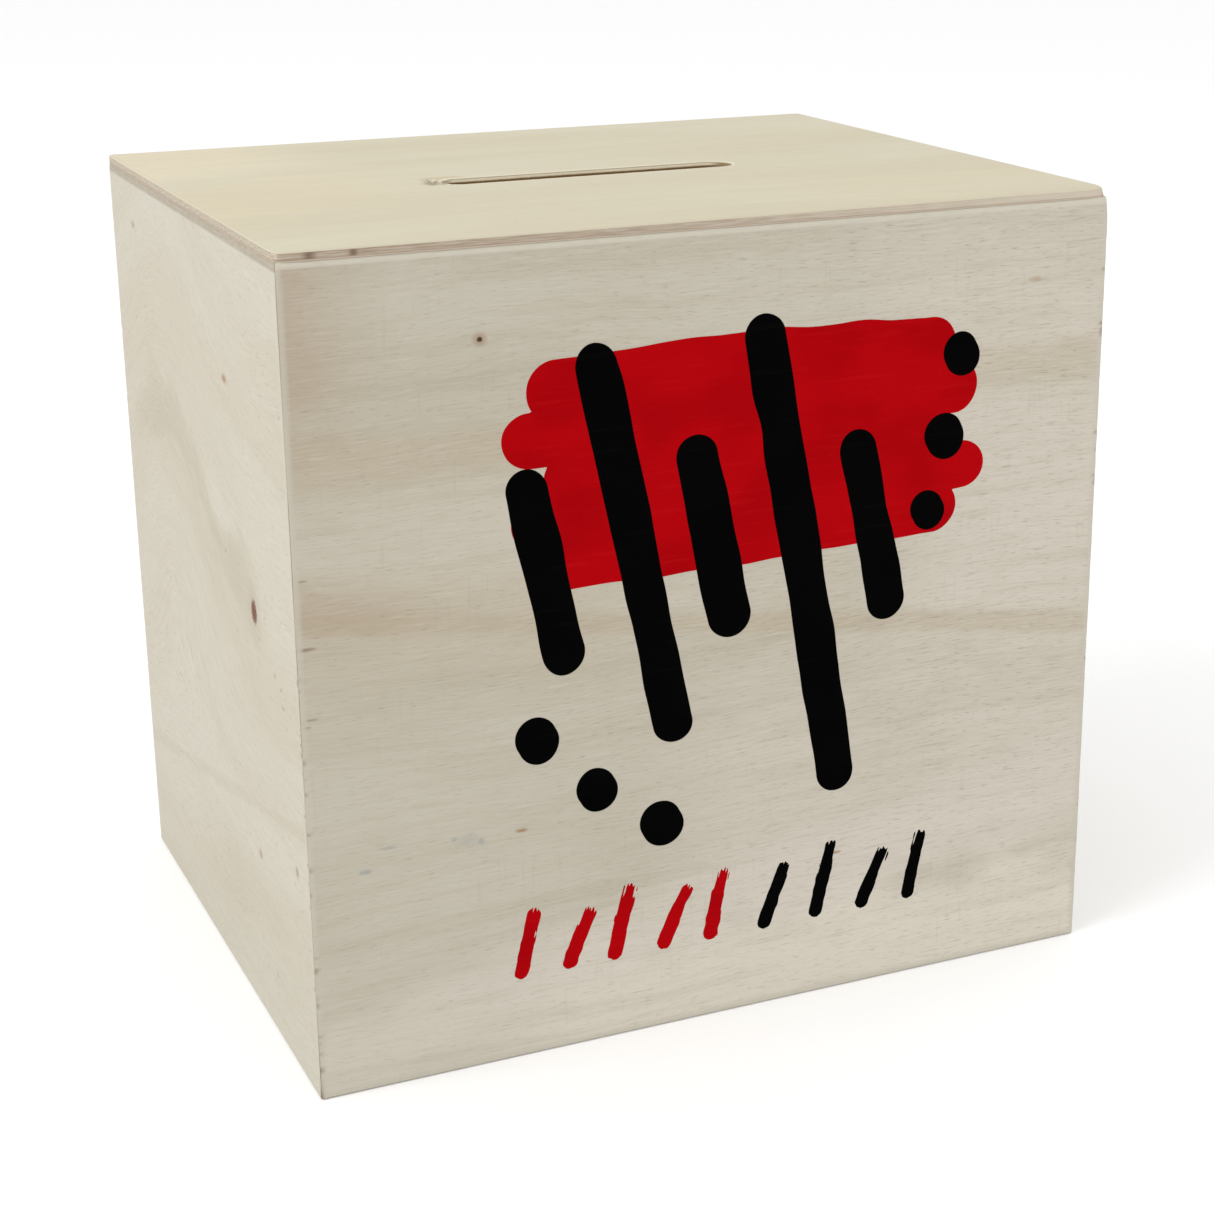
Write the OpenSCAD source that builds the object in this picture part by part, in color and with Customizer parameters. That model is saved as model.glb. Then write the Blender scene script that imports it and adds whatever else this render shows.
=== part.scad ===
// Free-standing wooden money box. A slotted top is glued on four mitred walls, square battens
// back the corners and carry an inset base, and a soft plug pulls out of the base to empty it.
// The front faces -Y, +Z is up, and the origin is the middle of the rim that the box stands on.

/* [Box] */
// Outside width of the box, along X
box_w = 250; // [200:1:300]
// Outside depth of the box, along Y
box_d = 200; // [160:1:240]
// Outside height of the box, along Z
box_h = 240; // [150:1:300]
// Thickness of the three-ply sheet that every panel is cut from
ply_t = 2.7; // [2.4:0.1:4]

/* [Money slot] */
// Length of the slot in the top, over its round ends
slot_l = 95; // [60:1:140]
// Width of the slot, which is the diameter of the router bit that cuts it
slot_w = 12; // [6:0.5:14]
// How far the slot's middle lies in front of the top's middle
slot_forward = 5; // [0:1:20]

/* [Base and battens] */
// Height of the base's underside above the rim
base_inset = 6; // [5:0.5:12]
// Gap between the base's edges and the walls
base_gap = 0.2; // [0.1:0.1:1]
// Side of the square battens: the cleats over the base and the posts in the corners
batten = 10; // [8:1:14]

/* [Brads] */
// Diameter of a brad's shank
brad_d = 1.2; // [1:0.1:1.8]
// Diameter of a brad's flat head
brad_head_d = 2.4; // [2:0.1:3.5]
// Thickness of a brad's flat head
brad_head_t = 0.4; // [0.3:0.1:0.8]
// Length of a brad under its head, with its point
brad_l = 10.5; // [8:0.5:10.5]
// Length of a brad's tapered point
brad_point_l = 1.5; // [1:0.5:3]
// Distance of the end brads from the inside corners, along the front and the back
brad_margin = 25; // [20:1:50]
// Brads along the front and along the back
brads_long = 3; // [2:1:6]
// Brads along each side, spread between the long rows
brads_short = 2; // [1:1:4]

/* [Plug] */
// Diameter of the hole in the base
hole_d = 50; // [40:1:60]
// Radial clearance of the plug's neck in the hole
plug_clearance = 0.08; // [0.02:0.02:0.1]
// Diameter of the plug's flange
flange_d = 60; // [58:1:70]
// Thickness of the plug's flange
flange_t = 1.6; // [1.2:0.1:2]
// Height of the plug's neck above its flange
neck_h = 9; // [7:0.5:14]
// Thickness of the plug's neck and of the web that closes its top
neck_t = 1.8; // [1.2:0.1:2.5]
// Width of the finger bar across the plug's pocket
bar_w = 5; // [4:0.5:8]
// Depth of the finger bar, from the flange's face
bar_h = 4; // [3:0.5:6]

/* [Hidden] */
$fn = 96;
through = 1;                                  // a cut runs this far past a face
top_z = box_h - ply_t;                        // top of the walls, underside of the top
inner_w = box_w - 2 * ply_t;                  // clear width between the side walls
inner_d = box_d - 2 * ply_t;                  // clear depth between front and back walls
base_top_z = base_inset + ply_t;              // underside of the cleats
cleat_top_z = base_top_z + batten;            // foot of the posts
brad_row_y = inner_d / 2 - batten / 2;        // the long rows run down the middle of a cleat
brad_row_x = inner_w / 2 - batten / 2;
long_step = (inner_w - 2 * brad_margin) / (brads_long - 1);
short_step = 2 * brad_row_y / (brads_short + 1);
long_spots = [for (side = [-1, 1], i = [0 : brads_long - 1])
    [-inner_w / 2 + brad_margin + i * long_step, side * brad_row_y]];
short_spots = [for (side = [-1, 1], i = [1 : brads_short])
    [side * brad_row_x, -brad_row_y + i * short_step]];
brad_spots = concat(long_spots, short_spots);
neck_r = hole_d / 2 - plug_clearance;
pocket_r = neck_r - neck_t;
plug_bottom_z = base_inset - flange_t;

face_veneer = [0.85, 0.81, 0.72];
wall_veneer = [0.79, 0.75, 0.68];
softwood = [0.80, 0.68, 0.48];
wire = [0.66, 0.66, 0.68];
plug_black = [0.10, 0.10, 0.11];

// A solid block on the given corner
module block(corner, size) {
    translate(corner) cube(size);
}

// The plan of the money slot: straight sides and full round ends
module slot_plan() {
    straight = slot_l - slot_w;
    translate([0, -slot_forward]) {
        square([straight, slot_w], center = true);
        for (side = [-1, 1]) translate([side * straight / 2, 0]) circle(d = slot_w);
    }
}

// A wall that runs along X at -Y, mitred at both ends, for a box of the given width and depth
module mitred_wall(width, depth) {
    linear_extrude(top_z) polygon([
        [-width / 2, -depth / 2],
        [width / 2, -depth / 2],
        [width / 2 - ply_t, -depth / 2 + ply_t],
        [-width / 2 + ply_t, -depth / 2 + ply_t]
    ]);
}

// The shank and the point of a brad, driven up from the base's underside
module brad_shank() {
    shank_l = brad_l - brad_point_l;
    cylinder(h = shank_l, d = brad_d);
    translate([0, 0, shank_l]) cylinder(h = brad_point_l, d1 = brad_d, d2 = 0.3);
}

module at_brads() {
    for (spot = brad_spots) translate([spot[0], spot[1], base_inset]) children();
}

// A cleat on the base: a batten along one wall, pierced by its brads
module cleat(corner, size) {
    difference() {
        block(corner, size);
        at_brads() brad_shank();
    }
}

// A post in one corner, from the cleats to the underside of the top
module post(x_side, y_side) {
    corner_x = x_side * (inner_w - batten) / 2 - batten / 2;
    corner_y = y_side * (inner_d - batten) / 2 - batten / 2;
    block([corner_x, corner_y, cleat_top_z], [batten, batten, top_z - cleat_top_z]);
}

module top_panel() {
    color(face_veneer) translate([0, 0, top_z]) difference() {
        block([-box_w / 2, -box_d / 2, 0], [box_w, box_d, ply_t]);
        translate([0, 0, -through]) linear_extrude(ply_t + 2 * through) slot_plan();
    }
}

module front_panel() {
    color(wall_veneer) mitred_wall(box_w, box_d);
}

module back_panel() {
    color(wall_veneer) rotate(180) mitred_wall(box_w, box_d);
}

module left_panel() {
    color(face_veneer) rotate(-90) mitred_wall(box_d, box_w);
}

module right_panel() {
    color(face_veneer) rotate(90) mitred_wall(box_d, box_w);
}

module base_panel() {
    panel_w = inner_w - 2 * base_gap;
    panel_d = inner_d - 2 * base_gap;
    color(wall_veneer) difference() {
        block([-panel_w / 2, -panel_d / 2, base_inset], [panel_w, panel_d, ply_t]);
        translate([0, 0, base_inset - through]) cylinder(h = ply_t + 2 * through, d = hole_d);
        at_brads() brad_shank();
    }
}

module post_front_left() {
    color(softwood) post(-1, -1);
}

module post_front_right() {
    color(softwood) post(1, -1);
}

module post_back_left() {
    color(softwood) post(-1, 1);
}

module post_back_right() {
    color(softwood) post(1, 1);
}

module cleat_front() {
    color(softwood) cleat([-inner_w / 2, -inner_d / 2, base_top_z], [inner_w, batten, batten]);
}

module cleat_back() {
    color(softwood)
        cleat([-inner_w / 2, inner_d / 2 - batten, base_top_z], [inner_w, batten, batten]);
}

module side_cleat(corner_x) {
    between = inner_d - 2 * batten;
    cleat([corner_x, -between / 2, base_top_z], [batten, between, batten]);
}

module cleat_left() {
    color(softwood) side_cleat(-inner_w / 2);
}

module cleat_right() {
    color(softwood) side_cleat(inner_w / 2 - batten);
}

// One group of identical brads, with their heads under the base
module base_brads() {
    color(wire) at_brads() {
        brad_shank();
        translate([0, 0, -brad_head_t]) cylinder(h = brad_head_t, d = brad_head_d);
    }
}

// A hat-shaped plug: flange under the base, neck in the hole, and a pocket with a finger bar
module base_plug() {
    color(plug_black) translate([0, 0, plug_bottom_z]) {
        rotate_extrude() polygon([
            [pocket_r, 0],
            [flange_d / 2, 0],
            [flange_d / 2, flange_t],
            [neck_r, flange_t],
            [neck_r, flange_t + neck_h],
            [0, flange_t + neck_h],
            [0, flange_t + neck_h - neck_t],
            [pocket_r, flange_t + neck_h - neck_t]
        ]);
        intersection() {
            cylinder(h = bar_h, r = pocket_r + neck_t / 2);
            block([-hole_d / 2, -bar_w / 2, 0], [hole_d, bar_w, bar_h]);
        }
    }
}

top_panel();
front_panel();
back_panel();
left_panel();
right_panel();
base_panel();
post_front_left();
post_front_right();
post_back_left();
post_back_right();
cleat_front();
cleat_back();
cleat_left();
cleat_right();
base_brads();
base_plug();
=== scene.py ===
"""Looks of a plywood money box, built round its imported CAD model.

Each outer panel is remade as a sanded sheet with soft arrises, chipped mitres and plies in its
edges. The print on the front is thin films of ink, and the plug gets its moulded detail.
Lengths are in metres, built up from millimetres with MM. The front faces -Y.
"""
import functools
import math
from types import SimpleNamespace

import bmesh
import bpy
import numpy as np
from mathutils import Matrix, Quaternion, Vector


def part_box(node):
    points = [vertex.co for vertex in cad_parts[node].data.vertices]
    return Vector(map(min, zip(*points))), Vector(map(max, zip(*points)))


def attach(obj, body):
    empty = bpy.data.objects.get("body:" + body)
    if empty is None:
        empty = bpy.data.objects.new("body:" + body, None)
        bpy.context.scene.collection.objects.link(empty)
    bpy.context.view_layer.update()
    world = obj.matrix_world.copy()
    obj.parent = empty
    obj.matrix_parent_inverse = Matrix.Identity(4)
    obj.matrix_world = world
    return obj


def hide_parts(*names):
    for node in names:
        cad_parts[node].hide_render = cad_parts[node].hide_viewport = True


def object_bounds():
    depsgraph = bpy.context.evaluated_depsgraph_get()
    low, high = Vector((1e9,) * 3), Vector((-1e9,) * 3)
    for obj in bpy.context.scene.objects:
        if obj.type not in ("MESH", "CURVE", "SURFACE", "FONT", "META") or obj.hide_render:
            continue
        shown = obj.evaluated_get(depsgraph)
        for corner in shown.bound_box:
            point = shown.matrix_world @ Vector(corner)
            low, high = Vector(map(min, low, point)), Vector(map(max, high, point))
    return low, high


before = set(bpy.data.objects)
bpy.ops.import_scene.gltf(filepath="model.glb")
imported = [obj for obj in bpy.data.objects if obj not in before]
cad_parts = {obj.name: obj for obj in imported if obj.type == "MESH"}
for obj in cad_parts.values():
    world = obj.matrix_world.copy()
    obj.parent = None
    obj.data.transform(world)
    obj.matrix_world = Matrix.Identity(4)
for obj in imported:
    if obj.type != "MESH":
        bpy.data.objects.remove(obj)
cad_low, cad_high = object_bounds()

MM = 0.001
WIDTH, DEPTH, HEIGHT = cad_high - cad_low
WALL_LOW, WALL_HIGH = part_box("front_panel")
SHEET = WALL_HIGH.y - WALL_LOW.y  # thickness of the plywood
WALL_TOP = WALL_HIGH.z  # the walls end here, and the top panel starts
VENEER_SHARE = 0.15
VENEER = VENEER_SHARE * SHEET  # thickness of each outer ply


# ---- smooth random fields

def lattice(seed, *shape):
    return np.random.RandomState(seed).uniform(-1, 1, shape)


def ease(t):
    return t * t * (3 - 2 * t)


def wobble(t, step, seed):
    """A smooth random curve from -1 to 1 that turns about every step along t."""
    values = lattice(seed, 1024)
    s = np.asarray(t, float) / step + 300
    i = np.floor(s).astype(int)
    f = ease(s - i)
    return values[i % 1024] * (1 - f) + values[(i + 1) % 1024] * f


def patches(x, y, step_x, step_y, seed):
    """A smooth random field from -1 to 1, with patches of about step_x by step_y."""
    values = lattice(seed, 256, 256)
    sx, sy = x / step_x + 100, y / step_y + 100
    i, j = np.floor(sx).astype(int), np.floor(sy).astype(int)
    fx, fy = ease(sx - i), ease(sy - j)
    i0, i1, j0, j1 = i % 256, (i + 1) % 256, j % 256, (j + 1) % 256
    low = values[i0, j0] * (1 - fx) + values[i1, j0] * fx
    high = values[i0, j1] * (1 - fx) + values[i1, j1] * fx
    return low * (1 - fy) + high * fy


# ---- meshes

def make_piece(name, points, faces, smooth=None, fields=None, sharp_deg=40):
    """A mesh object from points and faces. smooth holds one truth value a face."""
    mesh = bpy.data.meshes.new(name)
    mesh.from_pydata([tuple(p) for p in points], [], faces)
    for field, values in (fields or {}).items():
        attribute = mesh.attributes.new(field, "FLOAT", "POINT")
        attribute.data.foreach_set("value", np.asarray(values, np.float32).ravel())
    flags = np.ones(len(faces), bool) if smooth is None else np.asarray(smooth, bool)
    mesh.polygons.foreach_set("use_smooth", flags)
    mesh.set_sharp_from_angle(angle=math.radians(sharp_deg))
    mesh.update()
    piece = bpy.data.objects.new(name, mesh)
    bpy.context.scene.collection.objects.link(piece)
    return piece


def dress(piece, material, body="box", stands_for=()):
    """Gives a new piece its material, its body and the nodes it stands for."""
    piece.data.materials.clear()
    piece.data.materials.append(material)
    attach(piece, body)
    if stands_for:
        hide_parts(*stands_for)
    return piece


def ring_faces(levels, count, start=0, flip=False):
    """Quads between closed rings of count points that lie level after level."""
    faces = []
    for level in range(levels - 1):
        for i in range(count):
            j = (i + 1) % count
            low, high = start + level * count, start + (level + 1) * count
            quad = (low + i, low + j, high + j, high + i)
            faces.append(quad[::-1] if flip else quad)
    return faces


def fill_between(points, loops, upward):
    """Triangles that fill the flat area between closed loops of point numbers."""
    bm = bmesh.new()
    verts = {i: bm.verts.new(points[i]) for loop in loops for i in loop}
    number = {v: i for i, v in verts.items()}
    edges = []
    for loop in loops:
        edges += [bm.edges.new((verts[loop[k]], verts[loop[k - 1]])) for k in range(len(loop))]
    filled = bmesh.ops.triangle_fill(bm, use_beauty=True, edges=edges)
    faces = []
    for item in filled["geom"]:
        if isinstance(item, bmesh.types.BMFace):
            item.normal_update()
            ids = [number[v] for v in item.verts]
            faces.append(ids if item.normal.dot(upward) > 0 else ids[::-1])
    bm.free()
    return faces


# ---- walls

def corner(seed, notches=12, between=(5, 230), worn=0.15, gap=0.0):
    """One mitred corner: its torn notches and their heights, its wear and its gap, in mm."""
    return SimpleNamespace(seed=seed, notches=notches, between=between, worn=worn, gap=gap)


CORNERS = {
    "front_left": corner(11, notches=26, between=(3, 130), gap=0.62),
    "front_right": corner(23, notches=16, between=(8, 230), worn=1.5),
    "back_right": corner(37, gap=0.15),
    "back_left": corner(41),
}
SPLIT_CORNER = "front_left"  # its mitre has come apart at the foot
ARC_STEPS = 6
FACE_STEPS = np.array([0.2, 0.5, 1.0, 1.8, 3.2, 6.0, 12.0]) * MM
MIDDLE_INSET = 30 * MM  # the even steps along a wall start this far in
WALLS = {  # turn about Z from the front wall, half length, distance from the middle, end corners
    "front_panel": (0, WIDTH / 2, DEPTH / 2, "front_left", "front_right"),
    "right_panel": (90, DEPTH / 2, WIDTH / 2, "front_right", "back_right"),
    "back_panel": (180, WIDTH / 2, DEPTH / 2, "back_right", "back_left"),
    "left_panel": (-90, DEPTH / 2, WIDTH / 2, "back_left", "front_left"),
}
TOP_ARRIS, TOP_ARRIS_DEPTH = 1.5 * MM, 0.4 * MM
HEAD_BAND = {"left_panel": 2.5 * MM}  # a band of its own tone under the top, by wall: paler, a painted highlight on the rounded top arris, and darker on the left wall
USUAL_HEAD_BAND, HEAD_FADE = 1.8 * MM, 0.4 * MM
ARRIS_BAND, ARRIS_FADE = 1.9 * MM, 0.5 * MM  # paler wood beside a wall's ends and foot
RIM_ARRIS = 0.5 * MM
LEAST_ARRIS = 0.12 * MM
CORNER_RADIUS = 0.65  # in mm, before it is roughened and worn
SLOW_ROUGH, FAST_ROUGH = (0.14, 17 * MM), (0.08, 3 * MM)  # in mm, and over what height
WEAR_DEPTH = 5 * MM  # how far the wear at the head reaches down
HAIR_GAP, HAIR_CHANGE, HAIR_LEAST = 0.045, 0.035, 0.01  # half of a closed mitre's gap, in mm
HAIR_STEP = 9 * MM
GAP_HEIGHT = 5 * MM  # an open mitre closes over about this height
SPLIT_HEIGHT, SPLIT_WIDTH = 4 * MM, 0.9 * MM
SEAM_WIDTH = 0.45 * MM  # the glue-darkened wood beside each mitre
NOTCH_HALF, NOTCH_REACH, NOTCH_DEPTH = (0.35, 1.3), (0.5, 2.2), (0.10, 0.34)  # ranges, in mm
FULLY_TORN = 0.2 * MM  # a notch this deep shows only torn fibres
WALL_RINGS = 260


def corner_radius(name, z):
    """The rounding of a wall corner, worn rounder at its head."""
    seed, worn = CORNERS[name].seed, CORNERS[name].worn
    worn = worn * np.exp(-((WALL_TOP - z) / WEAR_DEPTH) ** 2)
    slow, slow_step = SLOW_ROUGH
    fast, fast_step = FAST_ROUGH
    rough = slow * wobble(z, slow_step, seed) + fast * wobble(z, fast_step, seed + 1)
    return (CORNER_RADIUS + rough + worn) * MM


def mitre_gap(name, z):
    """Half the gap between the two walls at a mitre: a hair, open a little at the foot."""
    hair = HAIR_GAP + HAIR_CHANGE * wobble(z, HAIR_STEP, CORNERS[name].seed + 2)
    foot = CORNERS[name].gap * np.exp(-z / GAP_HEIGHT)
    return (np.maximum(hair, HAIR_LEAST) + foot) * MM


def split_share(from_end, z):
    """How strongly the wood beside a mitre that is open at its foot shows its torn fibres."""
    return np.exp(-z / SPLIT_HEIGHT) * np.clip(1.4 - from_end / SPLIT_WIDTH, 0, 1)


def chips(from_end, z, seed, count, low, high):
    """Depth of the small torn notches along an arris, at points from_end away from it."""
    draw = np.random.RandomState(seed)
    depth = np.zeros(np.broadcast(from_end, z).shape)
    for _ in range(count):
        centre = draw.uniform(low, high)
        tall = draw.uniform(*NOTCH_HALF) * MM
        reach = draw.uniform(*NOTCH_REACH) * MM
        deep = draw.uniform(*NOTCH_DEPTH) * MM
        along = np.clip(1 - np.abs(z - centre) / tall, 0, 1)
        across = np.clip(1 - from_end / reach, 0, 1)
        depth = np.maximum(depth, deep * ease(along) * across)
    return depth


def torn_share(depth):
    """How strongly a notch of this depth shows its torn brown fibres, from 0 to 1."""
    return np.clip(depth / FULLY_TORN, 0, 1)


def wall_levels():
    """Heights of a wall's rings, and how far each ring's outer face is set back by an arris."""
    turn = np.radians(np.linspace(0, 90, 5))
    foot_z = RIM_ARRIS * (1 - np.cos(turn))
    foot_in = RIM_ARRIS * (1 - np.sin(turn))
    head_turn = np.radians(np.linspace(0, 90, 7))
    head_z = WALL_TOP - TOP_ARRIS + TOP_ARRIS * np.sin(head_turn)
    head_in = TOP_ARRIS_DEPTH * (1 - np.cos(head_turn))
    straight = np.linspace(RIM_ARRIS + 0.2 * MM, WALL_TOP - TOP_ARRIS - 1.6 * MM, WALL_RINGS)
    near_head = WALL_TOP - TOP_ARRIS - np.array([1.2, 0.8, 0.4]) * MM
    straight = np.concatenate([straight, near_head])
    heights = np.concatenate([foot_z, straight, head_z])
    insets = np.concatenate([foot_in, np.zeros(len(straight)), head_in])
    return heights[:, None], insets[:, None]


def wall_face(ends, half, z, inset):
    """The outer face's rings of points: u runs along the wall and n points out of it."""
    angle = np.radians(np.linspace(45, 0, ARC_STEPS))[None, :]
    halves = []
    for end in ends:
        radius = corner_radius(end, z)
        swing = np.maximum(radius - inset, LEAST_ARRIS)
        arc_u = radius - swing * np.sin(angle)
        arc_n = -np.maximum(radius, inset + LEAST_ARRIS) + swing * np.cos(angle)
        arc_u[:, :1] += mitre_gap(end, z)
        face_u = radius + FACE_STEPS[None, :]
        face_n = np.broadcast_to(-inset, face_u.shape)
        halves.append((np.hstack([arc_u, face_u]), np.hstack([arc_n, face_n])))
    (left_u, left_n), (right_u, right_n) = halves
    middle = np.linspace(-half + MIDDLE_INSET, half - MIDDLE_INSET, 7)[None, :] + 0 * z
    u = np.hstack([-half + left_u, middle, (half - right_u)[:, ::-1]])
    return u, np.hstack([left_n, 0 * middle - inset, right_n[:, ::-1]])


def tear_mitres(ends, half, u, n, z):
    """The face's n with torn notches at both mitres, and how torn each point looks."""
    torn = 0 * u
    for number, end, distance in ((1, ends[0], u + half), (2, ends[1], half - u)):
        mitre = CORNERS[end]
        low, high = mitre.between
        seed = mitre.seed * 7 + number
        notch = chips(distance, z, seed, mitre.notches, low * MM, high * MM)
        n = n - notch
        torn = np.maximum(torn, torn_share(notch))
        if end == SPLIT_CORNER:
            torn = np.maximum(torn, split_share(distance, z))
    return n, torn


def wall_fields(name, half, u, z, torn):
    """What the material needs to know at each point of the outer face."""
    to_end = np.minimum(u + half, half - u)
    band = HEAD_BAND.get(name, USUAL_HEAD_BAND)
    return {
        "arris": np.clip((ARRIS_BAND - np.minimum(to_end, z)) / ARRIS_FADE, 0, 1),
        "head": np.clip((z - WALL_TOP + band) / HEAD_FADE, 0, 1) + 0 * u,
        "seam": np.clip(1 - to_end / SEAM_WIDTH, 0, 1),
        "torn": torn,
    }


def closed_wall_faces(levels, count):
    """Quads round a wall's closed rings, and across its foot and its head."""
    faces = ring_faces(levels, count)
    last = (levels - 1) * count
    for i in range(count // 2 - 1):
        j = count - 1 - i
        faces.append((i + 1, i, j, j - 1))
        faces.append((last + i, last + i + 1, last + j - 1, last + j))
    return faces


def make_wall(name, material):
    turn, half, out, *ends = WALLS[name]
    z, inset = wall_levels()
    u, n = wall_face(ends, half, z, inset)
    n, torn = tear_mitres(ends, half, u, n, z)
    low = -half + SHEET + mitre_gap(ends[0], z)
    high = half - SHEET - mitre_gap(ends[1], z)
    inner_u = low + (high - low) * np.linspace(1, 0, u.shape[1])[None, :]
    fields = {}
    for field, values in wall_fields(name, half, u, z, torn).items():
        fields[field] = np.hstack([values, 0 * inner_u])
    all_u = np.hstack([u, inner_u])
    all_n = np.hstack([n, 0 * inner_u - SHEET])
    fields["ply"], fields["long_grain"] = -all_n / SHEET, np.ones_like(all_u)
    c, s = math.cos(math.radians(turn)), math.sin(math.radians(turn))
    x, y = all_u, -out - all_n
    all_z = np.broadcast_to(z, all_u.shape)
    points = np.stack([c * x - s * y, s * x + c * y, all_z], -1).reshape(-1, 3)
    faces = closed_wall_faces(*all_u.shape)
    piece = make_piece(name + "_sheet", points, faces, fields=fields)
    return dress(piece, material, stands_for=[name])


# ---- top panel

TOP_LOW, TOP_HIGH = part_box("top_panel")
PLAN_CORNERS = [  # side in X, side in Y, where the corner's arc starts, and its radius
    (-1, -1, 180, 2.4 * MM), (1, -1, 270, 3.2 * MM), (1, 1, 0, 2.0 * MM), (-1, 1, 90, 1.8 * MM),
]
SLOT_LENGTH = 95 * MM
SLOT_WIDTH = 12 * MM
SLOT_Y = -5 * MM  # the slot's middle
SLOT_TURN = 3 * MM  # end grain shows this near the slot's ends
POINT_STEP = 1.1 * MM
SAW_MARKS = 0.035 * MM
RUBBED_REACH = 8 * MM  # how far along the rim the front corners are rubbed
RUB_FOOT, RUB_RISE = 0.5, 0.9  # in mm: how much is rubbed away low down, and how much more on top
LEFT_RUB = 0.45  # the left corner's share of that
TORN_REACH = 5 * MM  # the slot's veneer is torn over this much of its left end
TORN_DEPTH, NIBBLE_DEPTH = 1.3 * MM, 0.5 * MM
NIBBLE_START = 0.55  # the random curve, from -1 to 1, nibbles only above this
TOP_WEAR = 1.4 * MM  # width of the sanded band round the panel
RIM_EDGE = (0.5 * MM, 0.1 * MM, 0.04 * MM)  # upper and lower rounding, and the glue's groove
SLOT_EDGE = (0.22 * MM, 0.15 * MM, 0.05 * MM)
GLUE_LINE = 0.07 * MM  # half the width of a glue line's groove
SLIVER_COUNT, SLIVER_STEPS = 46, 5
SLIVER_PLACE, SLIVER_SPREAD = (-4.6, -1.8), 0.42  # mm past the slot's end, share of its width
SLIVER_TURN = 28  # degrees either way from the grain
SLIVER_LENGTH, SLIVER_WIDTH, SLIVER_LIFT = (0.9, 2.6), (0.25, 0.6), (0.2, 1.1)  # ranges, in mm
SLIVER_CURL = 0.25  # the most, as a share of the length
SLIVER_THICK = 0.11 * MM
TIP_NARROWER, TIP_THINNER = 0.85, 0.6
SLIVER_ROOT = 0.05 * MM  # how deep the slivers start in the veneer
SLIVER_FIELDS = {"ply": 0.0, "arris": 0.8, "long_grain": 1.0, "in_slot": 0.0}


def arc_points(centre, radius, start_deg, end_deg, steps):
    angles = np.radians(np.linspace(start_deg, end_deg, steps))
    normals = np.stack([np.cos(angles), np.sin(angles)], -1)
    return np.array(centre) + radius * normals, normals


def straight_points(start, end, normal):
    start, end = np.array(start), np.array(end)
    steps = max(2, int(np.linalg.norm(end - start) / POINT_STEP))
    share = (np.arange(1, steps) / steps)[:, None]
    return start + (end - start) * share, np.broadcast_to(normal, (steps - 1, 2))


def chain(parts):
    return np.concatenate([p for p, _ in parts]), np.concatenate([n for _, n in parts])


def plan_outline():
    """The panel's plan, counter-clockwise from its front left corner, with outward normals."""
    arcs = []
    for sx, sy, start, radius in PLAN_CORNERS:
        centre = (sx * (TOP_HIGH.x - radius), sy * (TOP_HIGH.y - radius))
        arcs.append(arc_points(centre, radius, start, start + 90, 9))
    parts = []
    for k, (points, normals) in enumerate(arcs):
        next_points = arcs[(k + 1) % 4][0]
        parts += [(points, normals), straight_points(points[-1], next_points[0], normals[-1])]
    return chain(parts)


def slot_outline():
    """The slot's plan, with normals that point into the wood."""
    straight, radius = (SLOT_LENGTH - SLOT_WIDTH) / 2, SLOT_WIDTH / 2
    right = arc_points((straight, SLOT_Y), radius, -90, 90, 25)
    left = arc_points((-straight, SLOT_Y), radius, 90, 270, 25)
    back = straight_points(right[0][-1], left[0][0], right[1][-1])
    front = straight_points(left[0][-1], right[0][0], left[1][-1])
    return chain([right, back, left, front])


COLLAR = 0.9 * MM  # flat wood beside an edge, before the open top


def edge_profile(top_radius, bottom_radius, groove):
    """Heights over the panel's underside and set-backs, from the bottom to the top."""
    low = np.radians(np.linspace(0, 90, 4))
    high = np.radians(np.linspace(0, 90, 7))
    bottom_z, bottom_in = bottom_radius * (1 - np.cos(low)), bottom_radius * (1 - np.sin(low))
    top_z = SHEET - top_radius + top_radius * np.sin(high)
    top_in = top_radius * (1 - np.cos(high))
    glue_low, glue_high = VENEER, SHEET - VENEER
    middle_z = [glue_low - GLUE_LINE, glue_low, glue_low + GLUE_LINE]
    middle_in = [0, groove, groove / 2]
    if glue_high < SHEET - top_radius:
        middle_z += [glue_high - GLUE_LINE, glue_high, glue_high + GLUE_LINE]
        middle_in += [groove / 2, groove, 0]
    else:
        middle_z += [0.45 * SHEET, 0.6 * SHEET]
        middle_in += [groove / 2, groove / 2]
    heights = np.concatenate([bottom_z, middle_z, top_z, top_z[-1:]])
    return heights, np.concatenate([bottom_in, middle_in, top_in, top_in[-1:] + COLLAR])


def edge_rings(outline, inwards, profile, worn_back):
    """Rings of points up a sawn edge, each set back by its inset and by what is worn away."""
    rings = []
    for height, inset in zip(*profile):
        flat = outline + inwards * (inset + worn_back(outline, height))[:, None]
        rings.append(np.column_stack([flat, np.full(len(flat), TOP_LOW.z + height)]))
    return np.array(rings)


def rim_wear(outline, height):
    """Saw marks, and front corners rubbed away, most at the right and at the upper side."""
    along = np.concatenate([[0], np.cumsum(np.linalg.norm(np.diff(outline, axis=0), axis=1))])
    wear = 0.0
    for corner_x, share in ((TOP_HIGH.x, 1.0), (TOP_LOW.x, LEFT_RUB)):
        away = np.linalg.norm(outline - np.array([corner_x, TOP_LOW.y]), axis=1)
        wear = wear + share * ease(np.clip(1 - away / RUBBED_REACH, 0, 1))
    saw_marks = SAW_MARKS * patches(along, along * 0 + height, 1.7 * MM, 0.5 * MM, 61)
    return saw_marks + wear * (RUB_FOOT + RUB_RISE * height / SHEET) * MM


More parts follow.
